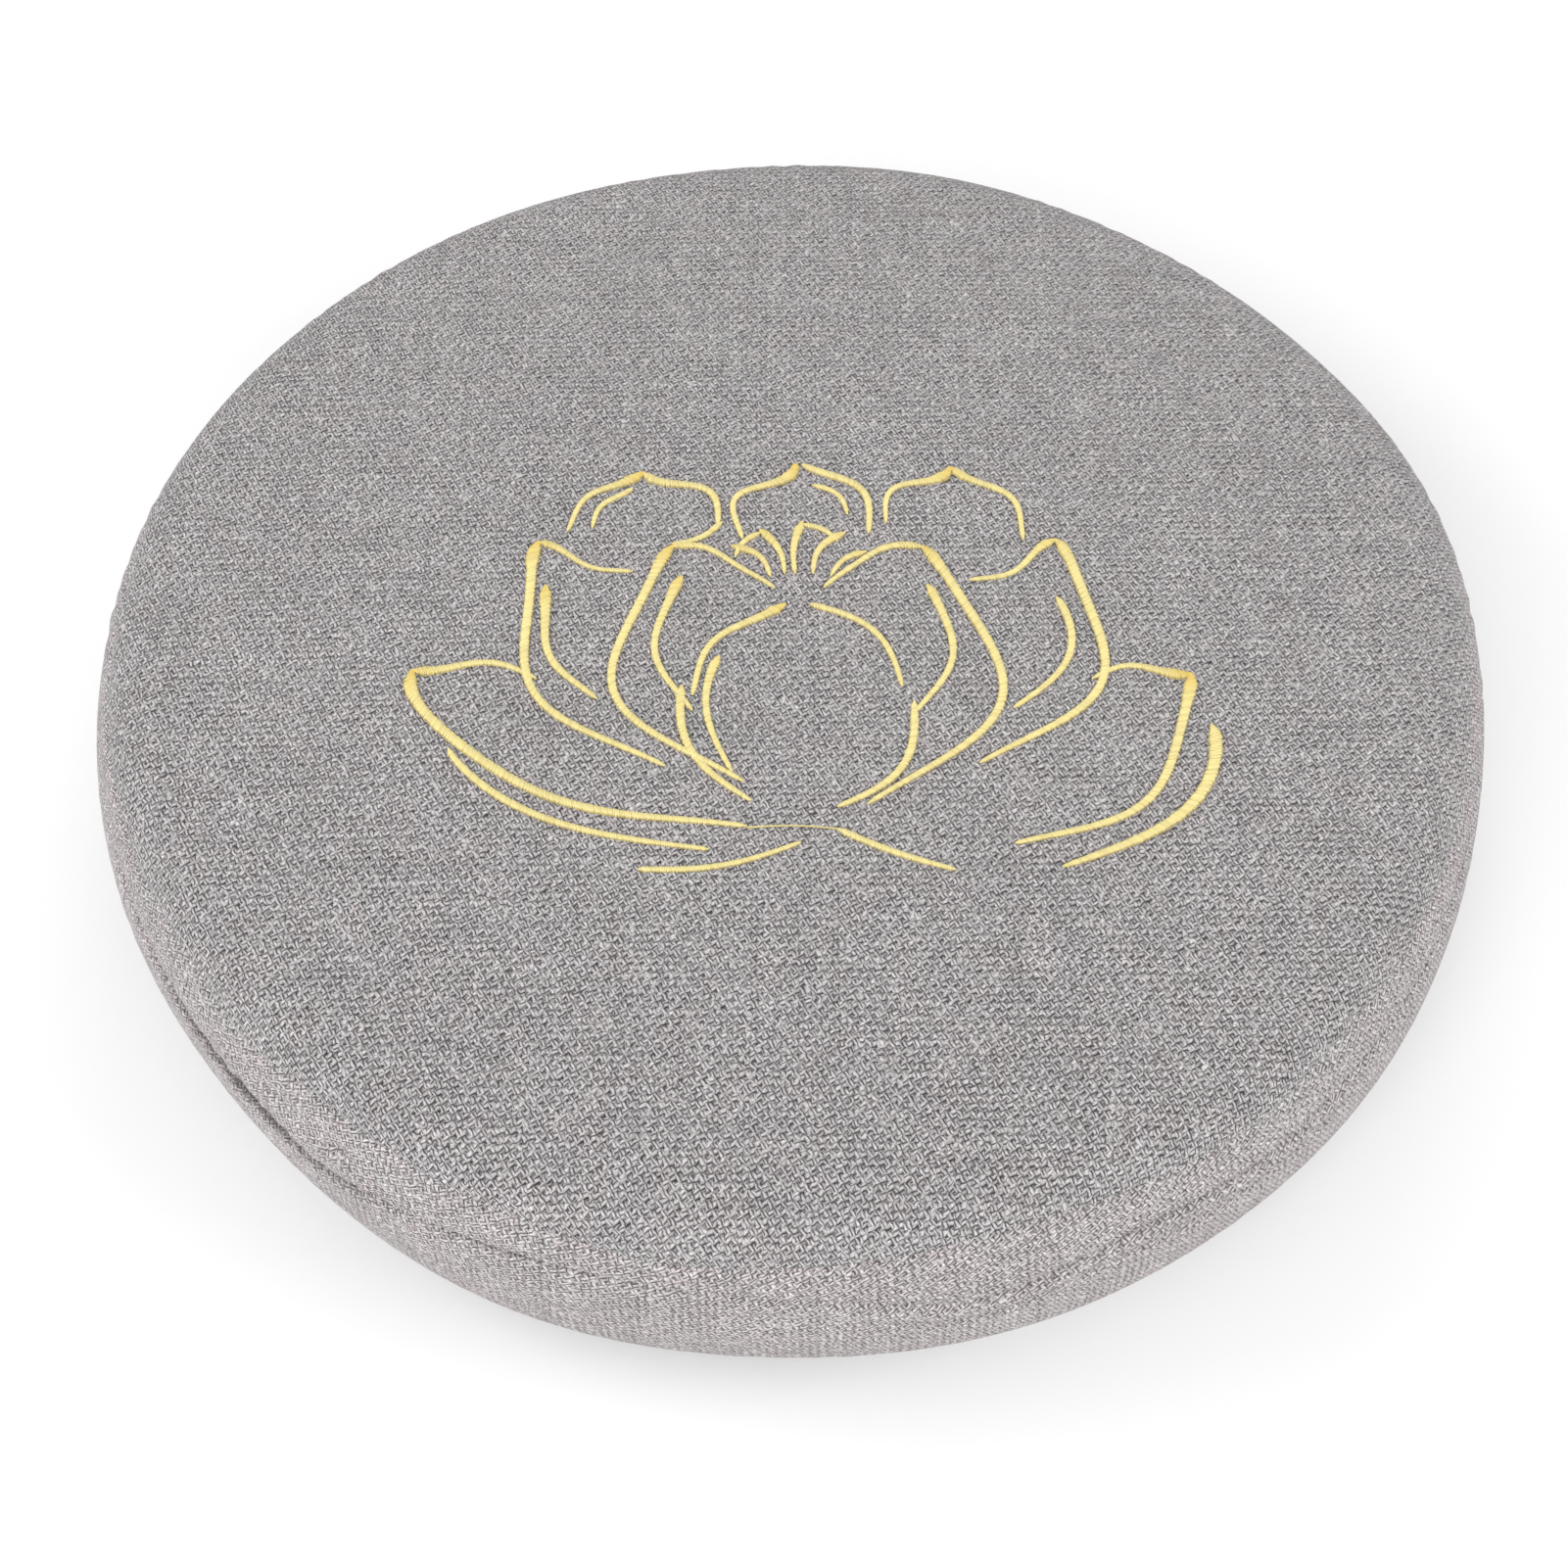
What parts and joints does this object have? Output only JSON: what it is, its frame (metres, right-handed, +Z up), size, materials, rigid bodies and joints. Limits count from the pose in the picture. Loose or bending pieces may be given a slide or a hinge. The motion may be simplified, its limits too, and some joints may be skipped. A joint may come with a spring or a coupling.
{
  "type": "round floor seat cushion",
  "caption": "Round boxed floor cushion in grey woven cloth: near-flat top with a low crown and gold line embroidery, soft side with sewn seams and a folded lap, flat underside.",
  "frame": {"origin": "middle of the cushion's box at the underside, on the surface that it lies on", "axes": "+Z up through the top panel; -Y towards the front edge, so that the embroidery reads upright from there; +X to the right"},
  "size_m": [0.4014, 0.3988, 0.08],
  "materials": {
    "cover_cloth": "matt grey plain-weave cloth with the look of linen",
    "gold_thread": "satin gold embroidery thread"
  },
  "bodies": {
    "root": {"cushion": "cover_cloth"}
  },
  "joints": []
}
